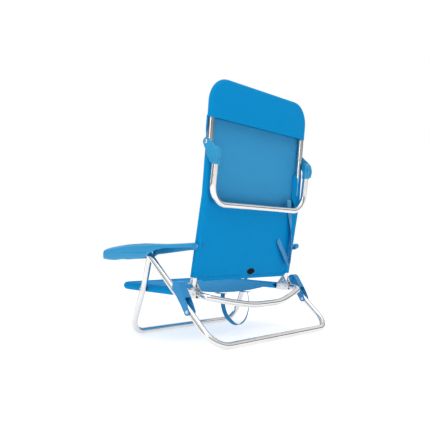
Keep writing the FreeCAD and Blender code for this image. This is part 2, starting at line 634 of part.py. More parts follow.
def cheek_plate(x0, x1):
    plate = extrude_x(outline, x0, x1).fuse(cyl_x(LINK_PIVOT, x0, x1, LINK_LOW_R))
    return plate.fuse(cyl_x(HINGE, x0, x1, LINK_TOP_R))


link = cheek_plate(LINK_IN, LINK_OUT)
# hollow out the channel: open to the front, closed by a web at the rear
hollow = [(-30, -40), (-30, 30), (36, 30), (40, 15.6 - LINK_WALL)]
hollow += [(link_len, LINK_TOP_R - LINK_WALL), (link_len, -40)]
hollow = extrude_x([on_link(s, w) for s, w in hollow], LINK_IN + LINK_WALL, LINK_OUT - LINK_WALL)
crown = cyl_x(HINGE, LINK_IN + LINK_WALL, LINK_OUT - LINK_WALL, LINK_TOP_R - LINK_WALL)
front_open = [(link_len - 2, -40), (link_len - 2, -4), (link_len + 30, -30), (link_len + 30, -40)]
front_open = extrude_x([on_link(s, w) for s, w in front_open], LINK_IN + LINK_WALL, LINK_OUT - LINK_WALL)
link = link.cut(hollow).cut(crown).cut(front_open)
link = link.cut(cyl_x(HINGE, LINK_IN - 1, LINK_IN + LINK_WALL + 1, BORE_R))
link = link.cut(cyl_x(LINK_PIVOT, LINK_IN - 1, LINK_OUT + 1, BORE_R)).removeSplitter()
save("leg_link_left", link)
save("leg_link_right", mirror(link))

# ---------------------------------------------------------------------------
# Armrests: plastic channels with a notched rack along the inside
# ---------------------------------------------------------------------------

pin = cyl_x(ARM_PIVOT, SEAT_X - TUBE_R - 0.4, ARM_IN + ARM_WALL + 0.6, BOLT_R)
pin = pin.fuse(cyl_x(ARM_PIVOT, SEAT_X + TUBE_R + 0.4, ARM_IN - 0.4, 7.0))
pin = pin.fuse(Part.makeCone(3.4, 5.8, 1.8, yz(ARM_PIVOT, SEAT_X - TUBE_R - 2.2), V(1, 0, 0)))
pin = pin.fuse(Part.makeCone(4.4, 3.2, 1.6, yz(ARM_PIVOT, ARM_IN + ARM_WALL + 0.4), V(1, 0, 0)))
save("armrest_pin_left", pin)
save("armrest_pin_right", mirror(pin))

ARM_REAR_Y = ARM_PIVOT[0] + 13.0
ARM_DEEP_Z = 240.0
top_curve = [(ARM_TIP_Y, 273.0), (-300.0, 281.0), (-285.0, 287.5), (-257.0, 293.0), (-225.0, 297.0)]
top_curve += [(-178.0, 302.0), (-103.0, 305.0), (-10.0, 302.5), (50.0, 304.0), (ARM_REAR_Y, 306.0)]
ARM_TOP_T = 3.2


def under(curve, drop, floor_z):
    # closed side outline below a curve
    pts = [(y, z - drop) for y, z in curve]
    return pts + [(curve[-1][0], floor_z), (curve[0][0], floor_z)]


def arm_plan(inset):
    # plan outline: rounded tip, straight inner edge, outer edge tapering rearward
    x_in = ARM_IN + inset
    x_out = ARM_OUT - inset
    tip = ARM_TIP_Y + inset
    mid = 0.5 * (x_in + x_out)
    r = 0.5 * (x_out - x_in)
    pts = []
    for i in range(0, 13):
        a = math.pi * i / 12.0
        pts.append(V(mid + r * math.cos(a), tip + r * 0.62 - r * 0.62 * math.sin(a) + Y_SHIFT, 200))
    spline = Part.BSplineCurve()
    spline.interpolate(pts)
    rear = ARM_REAR_Y - inset
    corners = [pts[-1], V(x_in, rear + Y_SHIFT, 200), V(x_in + 22.0 - inset, rear + Y_SHIFT, 200)]
    corners += [V(x_out, -60.0 + Y_SHIFT, 200), pts[0]]
    lines = [Part.makeLine(corners[i], corners[i + 1]) for i in range(4)]
    face = Part.Face(Part.Wire([spline.toShape()] + lines))
    return face.extrude(V(0, 0, 120))


def arm_side(curve, drop, x0, x1, floor_z):
    pts = under(curve, drop, floor_z)
    n = len(curve)
    spline = Part.BSplineCurve()
    spline.interpolate([yz(p, x0) for p in pts[:n]])
    a = yz(pts[n - 1], x0)
    b = yz(pts[n], x0)
    c = yz(pts[n + 1], x0)
    d = yz(pts[0], x0)
    lines = [Part.makeLine(a, b), Part.makeLine(b, c), Part.makeLine(c, d)]
    return Part.Face(Part.Wire([spline.toShape()] + lines)).extrude(V(x1 - x0, 0, 0))


arm = arm_side(top_curve, 0.0, ARM_IN - 5, ARM_OUT + 5, ARM_DEEP_Z).common(arm_plan(0.0))
core = arm_side(top_curve, ARM_TOP_T, ARM_IN - 5, ARM_OUT + 5, 200.0).common(arm_plan(ARM_WALL))
arm = arm.cut(core)
outer_low = [(-320, 258), (-290, 256), (-262, 253), (-229, 251), (-198, 253), (-150, 255), (-117, 256)]
outer_low += [(-92, 259), (-74, 265), (-37, 284), (0, 290), (120, 292), (120, 200), (-320, 200)]
inner_low = [(-320, 258), (-290, 256), (-262, 253), (-229, 251), (-198, 253), (-150, 255), (-117, 257)]
inner_low += [(-92, 262), (-80, 271), (-46, 275), (0, 279.5), (60, 285), (120, 287)]
inner_low += [(120, 200), (-320, 200)]
middle = 0.5 * (ARM_IN + ARM_OUT)
arm = arm.cut(extrude_x(outer_low, middle, ARM_OUT + 10))
arm = arm.cut(extrude_x(inner_low, ARM_IN - 10, middle))
groove = [(-193, 277.2), (-69, 277.2), (-69, 274.8), (-193, 274.8)]
arm = arm.cut(extrude_x(groove, ARM_OUT - 1.0, ARM_OUT + 5))
boss = cyl_x(ARM_PIVOT, ARM_IN, ARM_IN + ARM_WALL, 7.5)
arm = arm.fuse(boss).cut(cyl_x(ARM_PIVOT, ARM_IN - 2, ARM_IN + ARM_WALL + 2, BORE_R))
save("armrest_left", arm.removeSplitter())
save("armrest_right", mirror(arm.removeSplitter()))

# Racks: two toothed ribs under the top wall that stop the hub pins
RACK_T = 3.0
RACK_TIP_Z = HUB[1] + PIN_R + 5.2
RACK_ROOT_Z = RACK_TIP_Z + 4.2
RACK_PITCH = 19.0
RACK_FRONT_Y = HUB[0] - 107.0
RACK_REAR_Y = HUB[0] + 112.0 - 84.0
RACK_TOP_Z = 312.0
teeth = [(RACK_REAR_Y, RACK_TOP_Z), (RACK_REAR_Y, RACK_ROOT_Z)]
y = RACK_REAR_Y
notch_y = HUB[0] + 1.5 * RACK_PITCH
while notch_y > RACK_FRONT_Y + RACK_PITCH:
    teeth.append((notch_y, RACK_TIP_Z))
    teeth.append((notch_y - 4.0, RACK_TIP_Z))
    teeth.append((notch_y - 6.0, RACK_ROOT_Z))
    teeth.append((notch_y - RACK_PITCH + 1.0, RACK_ROOT_Z))
    notch_y -= RACK_PITCH
teeth.append((RACK_FRONT_Y, RACK_ROOT_Z))
teeth.append((RACK_FRONT_Y, RACK_TOP_Z))
ribs = []
for x0 in (ARM_IN + ARM_WALL, ARM_OUT - ARM_WALL - RACK_T):
    ribs.append(extrude_x(teeth, x0, x0 + RACK_T).common(core))
save("position_rack_left", group(ribs))
save("position_rack_right", group([mirror(r) for r in ribs]))
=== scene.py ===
import json
import math

import bmesh
import bpy
from mathutils import Matrix, Vector, noise


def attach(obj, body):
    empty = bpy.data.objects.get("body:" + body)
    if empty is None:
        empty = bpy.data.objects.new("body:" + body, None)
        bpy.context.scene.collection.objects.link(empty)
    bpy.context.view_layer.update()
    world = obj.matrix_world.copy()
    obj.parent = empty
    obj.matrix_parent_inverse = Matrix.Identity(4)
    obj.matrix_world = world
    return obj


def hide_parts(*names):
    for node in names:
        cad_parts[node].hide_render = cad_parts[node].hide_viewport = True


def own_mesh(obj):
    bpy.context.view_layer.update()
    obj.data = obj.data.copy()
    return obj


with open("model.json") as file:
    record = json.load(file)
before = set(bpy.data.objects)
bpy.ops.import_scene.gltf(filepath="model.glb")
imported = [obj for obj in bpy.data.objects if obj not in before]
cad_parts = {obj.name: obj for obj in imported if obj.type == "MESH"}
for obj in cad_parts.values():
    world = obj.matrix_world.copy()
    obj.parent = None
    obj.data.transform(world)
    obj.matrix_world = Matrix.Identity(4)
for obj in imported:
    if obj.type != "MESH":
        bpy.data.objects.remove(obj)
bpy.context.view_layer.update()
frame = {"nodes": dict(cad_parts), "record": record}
NODES = frame["nodes"]

# ---------------------------------------------------------------------------
# Driving numbers, in millimetres: side-view positions are (y, z) with y
# measured from mid-chair, and Y_SHIFT turns them into the row frame.
# ---------------------------------------------------------------------------
MM = 0.001
Y_SHIFT = 44.5
HINGE = (58.0, 174.5)
KINK = (112.0, 455.0)
TOP = (146.0, 797.0)
TUBE_X = 242.0
SLEEVE_R = 11.3
HEM_Z, POCKET_Z, SLEEVE_TOP_Z, HOOD_Z = 190.0, 434.0, 562.0, 684.0
BRACKET_CLEARANCE = 11.0
RAIL_HINGE_Z, RAIL_SLOPE = 150.0, -0.035
SEAT_REAR_Y, SEAT_FRONT_Y = 26.0, -283.0


def row(x, y, z):
    return Vector((x * MM, (y + Y_SHIFT) * MM, z * MM))


def smooth(a, b, t):
    t = max(0.0, min(1.0, (t - a) / (b - a)))
    return t * t * (3 - 2 * t)


def back_at(z, off=0.0):
    """(y, z) of the back tube's centre line at height z, pushed square to the tube; positive is to the rear."""
    a, b = (HINGE, KINK) if z < KINK[1] else (KINK, TOP)
    y = a[0] + (z - a[1]) / (b[1] - a[1]) * (b[0] - a[0])
    low = math.atan2(KINK[0] - HINGE[0], KINK[1] - HINGE[1])
    high = math.atan2(TOP[0] - KINK[0], TOP[1] - KINK[1])
    ang = low + (high - low) * smooth(KINK[1] - 25, KINK[1] + 25, z)
    return y + off * math.cos(ang), z - off * math.sin(ang)


def on_back(x, z, off=0.0):
    """A point on the back; the lower corners are cut up clear of the hinge brackets."""
    corner = smooth(212.0, 225.0, abs(x)) * smooth(HEM_Z + 40.0, HEM_Z, z)
    return row(x, *back_at(z + BRACKET_CLEARANCE * corner, off))


def rail_z(y):
    return RAIL_HINGE_Z + RAIL_SLOPE * (y - HINGE[0])


# ---------------------------------------------------------------------------
# Node materials
# ---------------------------------------------------------------------------
class Mat:
    """A small wrapper that adds and links nodes round one Principled shader."""

    def __init__(self, name, **sockets):
        self.mat = bpy.data.materials.new(name)
        self.mat.use_nodes = True
        self.tree = self.mat.node_tree
        self.bsdf = self.tree.nodes["Principled BSDF"]
        for key, value in sockets.items():
            self.bsdf.inputs[key.replace("_", " ")].default_value = value
        self.coords = self.tree.nodes.new("ShaderNodeTexCoord")

    def add(self, kind, props=None, **links):
        n = self.tree.nodes.new(kind)
        for key, value in (props or {}).items():
            setattr(n, key, value)
        for key, value in links.items():
            index = int(key[1:]) if key[0] == "i" and key[1:].isdigit() else key.replace("_", " ")
            self.put(value, n.inputs[index])
        return n

    def put(self, value, socket):
        if isinstance(value, bpy.types.NodeSocket):
            self.tree.links.new(value, socket)
        else:
            socket.default_value = value

    def math(self, op, a, b=0.0):
        return self.add("ShaderNodeMath", {"operation": op}, i0=a, i1=b).outputs[0]

    def axes(self, space):
        return self.add("ShaderNodeSeparateXYZ", None, i0=self.coords.outputs[space]).outputs

    def noise(self, space, scale, detail=3.0, stretch=(1, 1, 1), rough=0.55):
        m = self.add("ShaderNodeMapping", None, Vector=self.coords.outputs[space])
        m.inputs["Scale"].default_value = stretch
        n = self.add("ShaderNodeTexNoise", None, Vector=m.outputs[0], Scale=scale, Detail=detail, Roughness=rough)
        return n.outputs["Fac"]

    def ramp(self, fac, stops):
        n = self.add("ShaderNodeValToRGB", None, Fac=fac)
        el = n.color_ramp.elements
        while len(el) < len(stops):
            el.new(0.5)
        for e, (pos, colour) in zip(el, stops):
            e.position = pos
            e.color = (*colour, 1) if len(colour) == 3 else (colour[0],) * 3 + (1,)
        return n.outputs["Color"]

    def mix(self, fac, a, b, blend="MIX"):
        n = self.add("ShaderNodeMix", {"data_type": "RGBA", "blend_type": blend}, i0=fac)
        self.put(a if isinstance(a, bpy.types.NodeSocket) else (*a, 1), n.inputs[6])
        self.put(b if isinstance(b, bpy.types.NodeSocket) else (*b, 1), n.inputs[7])
        return n.outputs[2]

    def span(self, fac, lo, hi):
        n = self.add("ShaderNodeMapRange", None, Value=fac)
        n.inputs["To Min"].default_value = lo
        n.inputs["To Max"].default_value = hi
        return n.outputs[0]

    def bump(self, height, distance, strength=1.0, after=None):
        n = self.add("ShaderNodeBump", None, Height=height, Distance=distance, Strength=strength)
        if after is not None:
            self.tree.links.new(after, n.inputs["Normal"])
        return n.outputs[0]

    def finish(self, colour=None, rough=None, normal=None):
        for value, name in ((colour, "Base Color"), (rough, "Roughness"), (normal, "Normal")):
            if value is not None:
                self.tree.links.new(value, self.bsdf.inputs[name])
        return self.mat


def shade(colour, k):
    return tuple(min(1.0, c * k) for c in colour)


def fabric(name, base, pitch, gap_shade, bump_mm, space="UV", sheen=0.06):
    """Woven cloth: crossing threads of a real pitch, streaks along the threads, soft mottling, painted shade in the
    gaps between threads, and rubbed fibres.
    """
    m = Mat(name, Roughness=0.72, Sheen_Weight=sheen, Sheen_Roughness=0.45, Specular_IOR_Level=0.07)
    m.bsdf.inputs["Sheen Tint"].default_value = (*shade(base, 1.4), 1)
    x, y = m.axes(space)[:2]
    if space == "Object":
        y = m.math("ADD", y, m.axes(space)[2])
    k = 2 * math.pi / (pitch * MM)
    warp = m.math("SINE", m.math("MULTIPLY", x, k))
    weft = m.math("SINE", m.math("MULTIPLY", y, k))
    cross = m.math("MULTIPLY", warp, weft)
    weave = m.math("ADD", m.math("MULTIPLY", cross, 0.5), 0.5)
    streak_v = m.noise(space, 60.0, 3.0, (9.0, 0.5, 1.0))
    streak_h = m.noise(space, 60.0, 3.0, (0.5, 9.0, 1.0))
    mottle = m.noise("Object", 7.0, 4.0)
    streaks = m.math("ADD", m.math("MULTIPLY", streak_v, 0.6), m.math("MULTIPLY", streak_h, 0.4))
    col = m.ramp(streaks, [(0.34, shade(base, 0.90)), (0.5, base), (0.68, shade(base, 1.10))])
    col = m.mix(m.span(mottle, 0.0, 0.5), col, shade(base, 1.07))
    # The low points of the weave, where the threads dip, are darkened towards 0.42 of the base: painted shade in the
    # gaps between threads.
    col = m.mix(m.math("MULTIPLY", m.math("LESS_THAN", weave, 0.16), gap_shade), col, shade(base, 0.42))
    fuzz = m.noise("Object", 420.0, 2.0)
    rough = m.span(fuzz, 0.58, 0.86)
    soft = m.bump(m.noise("Object", 16.0, 3.0), 0.0022, 0.55)
    fine = m.bump(weave, bump_mm * MM, 0.8, soft)
    return m.finish(col, rough, fine)


def webbing(name, base):
    """Flat strap: a herringbone of diagonal ribs with two smooth selvedges."""
    m = Mat(name, Roughness=0.6, Sheen_Weight=0.1, Sheen_Roughness=0.4, Specular_IOR_Level=0.15)
    u, v = m.axes("UV")[:2]
    zig = m.math("ABSOLUTE", m.math("SINE", m.math("MULTIPLY", u, 2 * math.pi / 0.009)))
    ribs = m.math("SINE", m.math("MULTIPLY", m.math("ADD", v, m.math("MULTIPLY", zig, 0.0018)), 2 * math.pi / 0.0017))
    tone = m.noise("UV", 90.0, 3.0, (2.0, 0.6, 1.0))
    ribbed = m.math("ADD", m.math("MULTIPLY", ribs, 0.18), tone)
    col = m.ramp(ribbed, [(0.3, shade(base, 0.78)), (0.72, shade(base, 1.12))])
    return m.finish(col, m.span(tone, 0.5, 0.78), m.bump(ribs, 0.0004, 0.8))


def plastic(name, base, rough=0.32, grain=0.00006):
    """Moulded polypropylene: soft gloss, fine spark grain, faint flow marks and convex edges painted paler as a
    painted highlight.
    """
    m = Mat(name, Roughness=rough, Specular_IOR_Level=0.5, Coat_Weight=0.12, Coat_Roughness=0.25)
    m.bsdf.inputs["Subsurface Weight"].default_value = 0.04
    m.bsdf.inputs["Subsurface Radius"].default_value = (0.004, 0.006, 0.01)
    flow = m.noise("Object", 11.0, 4.0, (1.0, 0.35, 1.0))
    col = m.ramp(flow, [(0.32, shade(base, 0.90)), (0.55, base), (0.75, shade(base, 1.08))])
    # Convex edges, found from pointiness, are mixed a quarter of the way to a paler blue: a painted highlight along
    # the edges.
    edge = m.add("ShaderNodeNewGeometry").outputs["Pointiness"]
    col = m.mix(m.math("MULTIPLY", m.ramp(edge, [(0.52, (0.0,)), (0.60, (1.0,))]), 0.25), col, shade(base, 1.5))
    fine = m.noise("Object", 900.0, 2.0)
    scuff = m.noise("Object", 60.0, 6.0, (1.0, 0.15, 1.0), 0.7)
    return m.finish(col, m.span(scuff, rough - 0.06, rough + 0.14), m.bump(fine, grain, 0.6))


def metal(name, base, rough, draw=(1, 1, 1), spot=0.0):
    """Aluminium or zinc: bright metal with drawing lines, clouding and small scratches."""
    m = Mat(name, Metallic=1.0)
    cloud = m.noise("Object", 18.0, 5.0)
    lines = m.noise("Object", 300.0, 3.0, draw, 0.65)
    nicks = m.ramp(m.noise("Object", 140.0, 8.0, (1, 1, 1), 0.75), [(0.60, (0.0,)), (0.70, (1.0,))])
    col = m.ramp(cloud, [(0.3, shade(base, 0.90)), (0.7, base)])
    col = m.mix(m.math("MULTIPLY", nicks, 0.22 + spot), col, shade(base, 0.62))
    r = m.math("ADD", m.span(cloud, rough - 0.05, rough + 0.07), m.math("MULTIPLY", nicks, 0.12))
    return m.finish(col, r, m.bump(lines, 0.00005, 0.5))


def foam_skin(name, base):
    m = Mat(name, Roughness=0.9)
    v = m.add("ShaderNodeTexVoronoi", None, Vector=m.coords.outputs["Object"], Scale=420.0)
    cell = v.outputs["Distance"]
    tone = m.noise("Object", 22.0, 4.0)
    # Near each Voronoi point the bump dips into a pore, and the colour there is darkened towards 0.72 of the base:
    # painted shade in the pores.
    col = m.mix(m.ramp(cell, [(0.1, (1.0,)), (0.4, (0.0,))]), shade(base, 1.0), shade(base, 0.72))
    col = m.mix(m.span(tone, 0.0, 0.35), col, shade(base, 0.85))
    return m.finish(col, m.span(tone, 0.82, 0.98), m.bump(cell, 0.0008, 0.7))


PLAIN_BLUE = (0.0004, 0.268, 0.615)
MESH_BLUE = (0.045, 0.330, 0.640)
ARM_BLUE = (0.006, 0.300, 0.600)
LINK_BLUE = (0.002, 0.245, 0.560)
STRAP_BLUE = (0.090, 0.430, 0.800)

M_PLAIN = fabric("plain_woven_fabric", PLAIN_BLUE, 1.1, 0.25, 0.10)
M_MESH = fabric("coated_mesh", MESH_BLUE, 1.9, 0.75, 0.32, sheen=0.05)
M_STRAP = webbing("strap_webbing", STRAP_BLUE)
M_LOOP = webbing("loop_webbing", (0.002, 0.235, 0.530))
M_ARM = plastic("armrest_plastic", ARM_BLUE, 0.34)
M_ELBOW = plastic("elbow_plastic", (0.012, 0.320, 0.600), 0.30)
M_LINK = plastic("link_plastic", LINK_BLUE, 0.33)
M_RACK = plastic("rack_plastic", (0.004, 0.130, 0.390), 0.5, 0.0001)
M_DARK = plastic("dark_plastic", (0.045, 0.045, 0.052), 0.45, 0.0001)
M_TUBE = metal("anodised_tube", (0.85, 0.84, 0.83), 0.16, (1, 1, 1))
M_PLATE = metal("bracket_plate", (0.86, 0.87, 0.89), 0.26, (6, 1, 1))
M_ZINC = metal("zinc_fastener", (0.70, 0.70, 0.70), 0.30, (1, 1, 1), 0.15)
M_FOAM = foam_skin("open_cell_foam", (0.80, 0.78, 0.70))
M_TAG = fabric("tag_weave", (0.010, 0.010, 0.013), 0.7, 0.4, 0.12, sheen=0.1)
M_THREAD = fabric("sewing_thread", (0.010, 0.330, 0.700), 0.6, 0.3, 0.05, "Object")
M_TAG_THREAD = fabric("tag_thread", (0.210, 0.020, 0.018), 0.6, 0.3, 0.05, "Object")

CAD_LOOKS = {
    "frame_tube": M_TUBE,
    "bracket_plate": M_PLATE,
    "fastener": M_ZINC,
    "plastic_blue": M_LINK,
    "plastic_rack": M_RACK,
    "plastic_dark": M_DARK,
}
for part in frame["record"]["subparts"]:
    look = CAD_LOOKS.get(part["material_slot"])
    if look:
        NODES[part["node"]].data.materials.clear()
        NODES[part["node"]].data.materials.append(look)


# ---------------------------------------------------------------------------
# Mesh helpers
# ---------------------------------------------------------------------------
def mesh_object(name, verts, faces, uvs=None, material=None):
    me = bpy.data.meshes.new(name)
    me.from_pydata(verts, [], faces)
    if uvs:
        layer = me.uv_layers.new(name="UVMap")
        for poly in me.polygons:
            for li, vi in zip(poly.loop_indices, poly.vertices):
                layer.data[li].uv = uvs[vi]
    obj = bpy.data.objects.new(name, me)
    bpy.context.scene.collection.objects.link(obj)
    if material:
        me.materials.append(material)
    return obj


def grid(name, rows, material, closed=False, uv_rows=None):
    """A quad sheet through rows of points, with UVs in metres along and across it."""
    count = len(rows[0])
    verts, uvs, faces = [], [], []
    v = 0.0
    for j, line in enumerate(rows):
        if j:
            v += (line[count // 2] - rows[j - 1][count // 2]).length
        u = 0.0
        for i, p in enumerate(line):
            if i:
                u += (p - line[i - 1]).length
            verts.append(p)
            uvs.append(uv_rows[j][i] if uv_rows else (u, v))
    last = count if closed else count - 1
    for j in range(len(rows) - 1):
        for i in range(last):
            k = (i + 1) % count
            faces.append((j * count + i, j * count + k, (j + 1) * count + k, (j + 1) * count + i))
    return mesh_object(name, verts, faces, uvs, material)


def merge(obj, distance=0.00002):
    bm = bmesh.new()
    bm.from_mesh(obj.data)
    bmesh.ops.remove_doubles(bm, verts=bm.verts, dist=distance)
    bmesh.ops.recalc_face_normals(bm, faces=bm.faces)
    bm.to_mesh(obj.data)
    bm.free()
    return obj


def join(name, objs):
    """Joins grids that share edges into one piece."""
    bpy.ops.object.select_all(action="DESELECT")
    for o in objs:
        o.select_set(True)
    bpy.context.view_layer.objects.active = objs[0]
    bpy.ops.object.join()
    objs[0].name = name
    objs[0].data.name = name
    return objs[0]


def apply_all(obj):
    graph = bpy.context.evaluated_depsgraph_get()
    me = bpy.data.meshes.new_from_object(obj.evaluated_get(graph), depsgraph=graph)
    obj.modifiers.clear()
    obj.data = me
    return obj


def thicken(obj, mm, offset=0.0, levels=0):
    if levels:
        s = obj.modifiers.new("sub", "SUBSURF")
        s.levels = s.render_levels = levels
    t = obj.modifiers.new("thick", "SOLIDIFY")
    t.thickness = mm * MM
    t.offset = offset
    t.use_even_offset = False
    apply_all(obj)
    return round_shading(obj)


def round_shading(obj, angle=40.0):
    for p in obj.data.polygons:
        p.use_smooth = True
    obj.data.set_sharp_from_angle(angle=math.radians(angle))
    return obj


def wrinkle(p, scale, amount, seed=0.0):
    """A repeatable soft dent in millimetres at a point in metres."""
    return amount * noise.noise(Vector((p.x + seed, p.y - seed, p.z)) * scale)


def ribbon(name, path, width, across, mm, material):
    """Flat webbing along a smooth path; across gives the width direction at each point."""
    curve = smooth_path(path, 10)
    rows = []
    for i, p in enumerate(curve):
        t = i / (len(curve) - 1)
        a = across(t, p).normalized()
        rows.append([p + a * (width * MM * k / 4) for k in (-2, -1.9, -1, 0, 1, 1.9, 2)])
    obj = grid(name, rows, material)
    return thicken(obj, mm)


def smooth_path(points, steps):
    """A Catmull-Rom line through the points."""
    pts = [points[0] * 2 - points[1]] + list(points) + [points[-1] * 2 - points[-2]]
    out = []
    for i in range(1, len(pts) - 2):
        a, b, c, d = pts[i - 1 : i + 3]
        for s in range(steps):
            t = s / steps
            out.append(
                0.5 * ((2 * b) + (c - a) * t + (2 * a - 5 * b + 4 * c - d) * t**2 + (3 * b - a - 3 * c + d) * t**3)
            )
    out.append(points[-1])
    return out


def stitches(name, lines, body, material=M_THREAD, pitch=4.2, length=3.0, r=0.42):
    """Rows of lock stitches that lie on a seam: each one a small pointed bead of thread."""
    verts, faces = [], []
    for line in lines:
        left = 0.0
        for a, b in zip(line, line[1:]):
            seg = (b - a).length
            if seg < 1e-9:
                continue
            d = (b - a) / seg
            side = d.cross(Vector((0.31, 0.47, 0.82))).normalized()
            up = d.cross(side)
            pos = left
            while pos < seg:
                c = a + d * pos
                base = len(verts)
                verts.append(c - d * length * MM / 2)
                for k in (-0.28, 0.28):
                    for q in range(5):
                        w = 2 * math.pi * q / 5
                        ring = side * math.cos(w) + up * math.sin(w)
                        verts.append(c + d * (k * length * MM) + ring * (r * MM))
                verts.append(c + d * length * MM / 2)
                for q in range(5):
                    n = (q + 1) % 5
                    faces.append((base, base + 1 + n, base + 1 + q))
                    faces.append((base + 1 + q, base + 1 + n, base + 6 + n, base + 6 + q))
                    faces.append((base + 11, base + 6 + q, base + 6 + n))
                pos += pitch * MM
            left = pos - seg
    obj = mesh_object(name, verts, faces, None, material)
    round_shading(obj, 60)
    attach(obj, body)
    return obj


# ---------------------------------------------------------------------------
# A sheet shaped to a U of tube: flat in the middle, rolled round the tube at
# its edge. x runs across, y from the open end to the closed end of the U.
# ---------------------------------------------------------------------------
def u_outline(half, reach, radius, along, corner, across):
    """Boundary points (x, y, nx, ny) of the inner patch, from one open end round to the other."""
    pts = [(half, reach * 0 + (reach - radius) * j / along, 1.0, 0.0) for j in range(along)]
    for k in range(corner + 1):
        a = 0.5 * math.pi * k / corner
        c, s = math.cos(a), math.sin(a)
        pts.append((half - radius + radius * c, reach - radius + radius * s, c, s))
    top = half - radius
    pts += [(top - 2 * top * i / across, reach, 0.0, 1.0) for i in range(1, across)]
    return pts + [(-x, y, -nx, ny) for x, y, nx, ny in reversed(pts[: along + corner + 1])]


def u_patch(name, half, reach, radius, place, height, material, along=14, corner=6, across=22):
    """The inner patch, as rows across at each height of the boundary."""
    ys = [(reach - radius) * j / along for j in range(along)]
    ends = [half] * along
    for k in range(corner + 1):
        a = 0.5 * math.pi * k / corner
        ys.append(reach - radius + radius * math.sin(a))
        ends.append(half - radius + radius * math.cos(a))
    rows, uvs = [], []
    for y, e in zip(ys, ends):
        xs = [e - 2 * e * i / across for i in range(across + 1)]
        rows.append([place(x, y, height(x, y)) for x in xs])
        uvs.append([(x * MM, y * MM) for x in xs])
    return grid(name, rows, material, uv_rows=uvs)


def u_rings(name, half, reach, radius, place, section, material, along=14, corner=6, across=22):
    """The rolled edge: section gives (distance outward from the patch, height) along the roll."""
    rows, uvs = [], []
    run = 0.0
    for i, (d, h) in enumerate(section):
        if i:
            run += math.hypot(d - section[i - 1][0], h(0, 0) - section[i - 1][1](0, 0))
        line, uv = [], []
        for x, y, nx, ny in u_outline(half, reach, radius, along, corner, across):
            px, py = x + nx * d, y + ny * d
            line.append(place(px, py, h(px, py)))
            uv.append(((x + nx * run) * MM, (y + ny * run) * MM))
        rows.append(line)
        uvs.append(uv)
    return grid(name, rows, material, uv_rows=uvs)


# ---------------------------------------------------------------------------
# Hood over the top of the back, with its foam
# ---------------------------------------------------------------------------
HOOD_REACH = 797.0 - HOOD_Z


def hood_place(x, y, h):
    p = on_back(x, HOOD_Z + y, h)
    n = Vector((0, 1, 0))
    return p + n * (wrinkle(p, 30.0, 0.9, 3.1) * MM if abs(h) > 6 else 0.0)


def hood_face(sign):
    def height(x, y):
        edge = min(1.0, min(TUBE_X - abs(x) + 8.0, HOOD_REACH - y + 8.0) / 60.0)
        crown = 2.4 * math.sin(0.5 * math.pi * max(0.0, edge))
        hem = -1.6 * smooth(26.0, 0.0, y) * smooth(1.0, 0.4, abs(x) / TUBE_X)
        fold = 1.3 * noise.noise(Vector((x * 0.011 + 7 * sign, y * 0.03, 4.0 * sign)))
        crease = 0.9 * noise.noise(Vector((x * 0.035, y * 0.02 + 9.0, 2.0 * sign)))
        return sign * (SLEEVE_R + 0.2 + crown + hem + (fold + crease) * smooth(0.0, 0.5, edge))
    return height


def hood_piece():
    inset, r = 30.0, 60.0 - 30.0
    half, reach = TUBE_X - inset, HOOD_REACH - inset
    puff = 2.2
    rear, front = hood_face(1), hood_face(-1)
    section = [(0.0, rear), (12.0, rear), (22.0, lambda x, y: 0.7 * rear(x, y) + 0.3 * SLEEVE_R)]
    for k in range(13):
        a = math.pi * k / 12
        level = SLEEVE_R * math.cos(a)
        section.append((inset + (SLEEVE_R + puff) * math.sin(a), lambda x, y, level=level: level))
    section += [(22.0, lambda x, y: 0.7 * front(x, y) - 0.3 * SLEEVE_R), (12.0, front), (0.0, front)]
    parts = [
        u_rings("h1", half, reach, r, hood_place, section, M_PLAIN, 16, 8, 36),
        u_patch("h2", half, reach, r, hood_place, rear, M_PLAIN, 16, 8, 36),
        u_patch("h3", half, reach, r, hood_place, front, M_PLAIN, 16, 8, 36),
    ]
    obj = merge(join("headrest_hood_cloth", parts), 0.0001)
    pinned = obj.vertex_groups.new(name="held")
    for v in obj.data.vertices:
        z = v.co.z / MM
        near = max(smooth(16.0, 4.0, abs(abs(v.co.x / MM) - TUBE_X)), smooth(770.0, 792.0, z))
        near = max(near, smooth(HOOD_Z + 10, HOOD_Z + 1, z))
        pinned.add([v.index], max(0.05, near), "REPLACE")
    settle(obj, "held", pressure=1.1, frames=16, cap_mm=4.0)
    return thicken(obj, 1.0, -1.0, 1)


def settle(obj, group, pressure, frames, cap_mm, gravity=0.0):
    """Runs Cloth on a mesh, limits how far a point may go, and keeps the result."""
    scene = bpy.context.scene
    rest = [v.co.copy() for v in obj.data.vertices]
    mod = obj.modifiers.new("cloth", "CLOTH")
    s = mod.settings
    s.quality = 6
    s.mass = 0.25
    s.tension_stiffness = s.compression_stiffness = 14
    s.shear_stiffness = 8
    s.bending_stiffness = 0.35
    s.use_pressure = pressure != 0.0
    s.uniform_pressure_force = pressure
    s.vertex_group_mass = group
    s.pin_stiffness = 1.0
    s.effector_weights.gravity = gravity
    mod.collision_settings.use_collision = False
    mod.point_cache.frame_end = frames
    for f in range(1, frames + 1):
        scene.frame_set(f)
    graph = bpy.context.evaluated_depsgraph_get()
    me = bpy.data.meshes.new_from_object(obj.evaluated_get(graph), depsgraph=graph)
    obj.modifiers.clear()
    obj.data = me
    scene.frame_set(1)
    for v, r in zip(me.vertices, rest):
        move = v.co - r
        if move.length > cap_mm * MM:
            v.co = r + move * (cap_mm * MM / move.length)
    return obj


hood = hood_piece()
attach(hood, "back")
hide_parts("headrest_hood")

